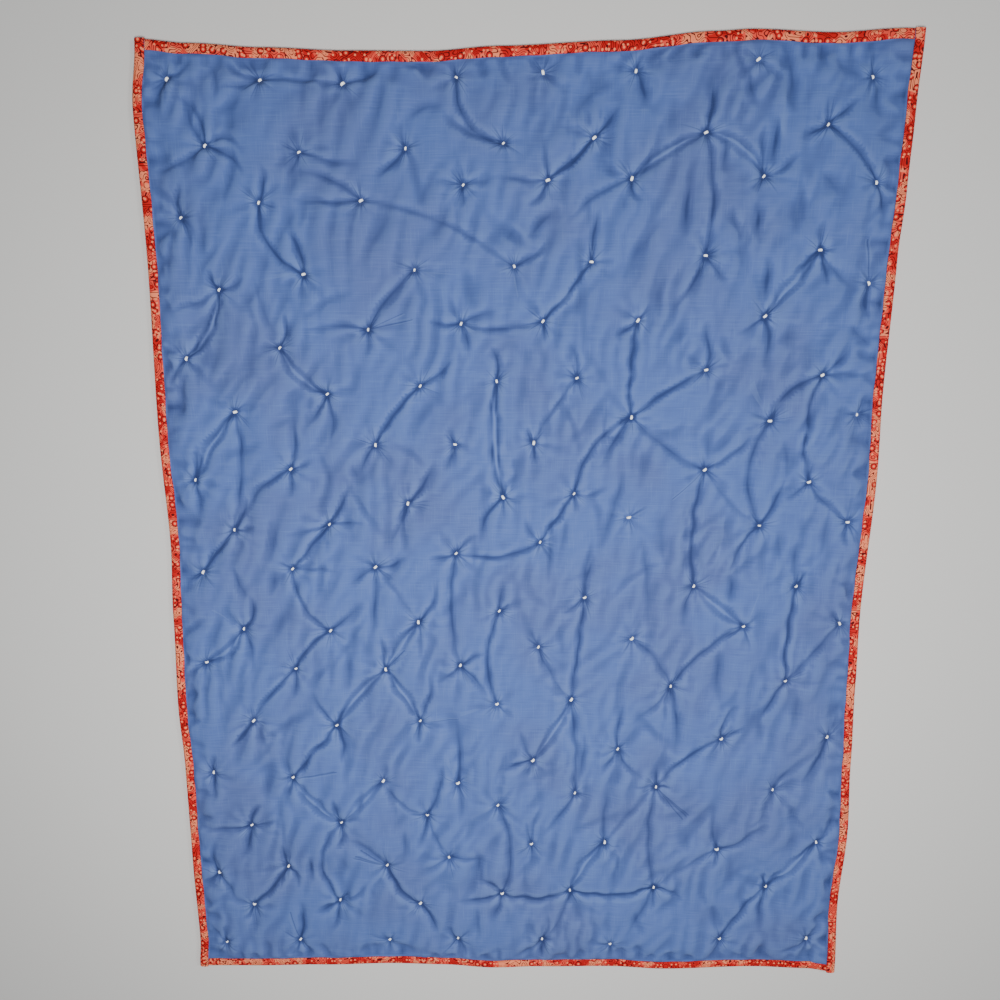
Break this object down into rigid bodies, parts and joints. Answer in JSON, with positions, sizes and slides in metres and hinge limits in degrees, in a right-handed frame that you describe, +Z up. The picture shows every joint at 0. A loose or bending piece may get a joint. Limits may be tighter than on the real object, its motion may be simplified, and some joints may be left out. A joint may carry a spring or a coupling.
{
  "type": "tied baby quilt",
  "caption": "Baby quilt laid flat: a thin padded blue panel drawn in by staggered thread ties, with puckers and folds, bound all round with folded printed strips.",
  "frame": {"origin": "middle of the underside, on the surface the quilt lies on", "axes": "+X to the right and +Y up the length of the quilt as seen face up, +Z up out of its face"},
  "size_m": [0.9068, 1.22, 0.0109],
  "materials": {
    "chambray": "matte blue slubbed cotton",
    "printed_cotton": "matte cotton with a small red, salmon and cream print"
  },
  "bodies": {
    "root": {"quilt_body": "chambray", "binding_left": "printed_cotton", "binding_right": "printed_cotton", "binding_top": "printed_cotton", "binding_bottom": "printed_cotton"}
  },
  "joints": []
}
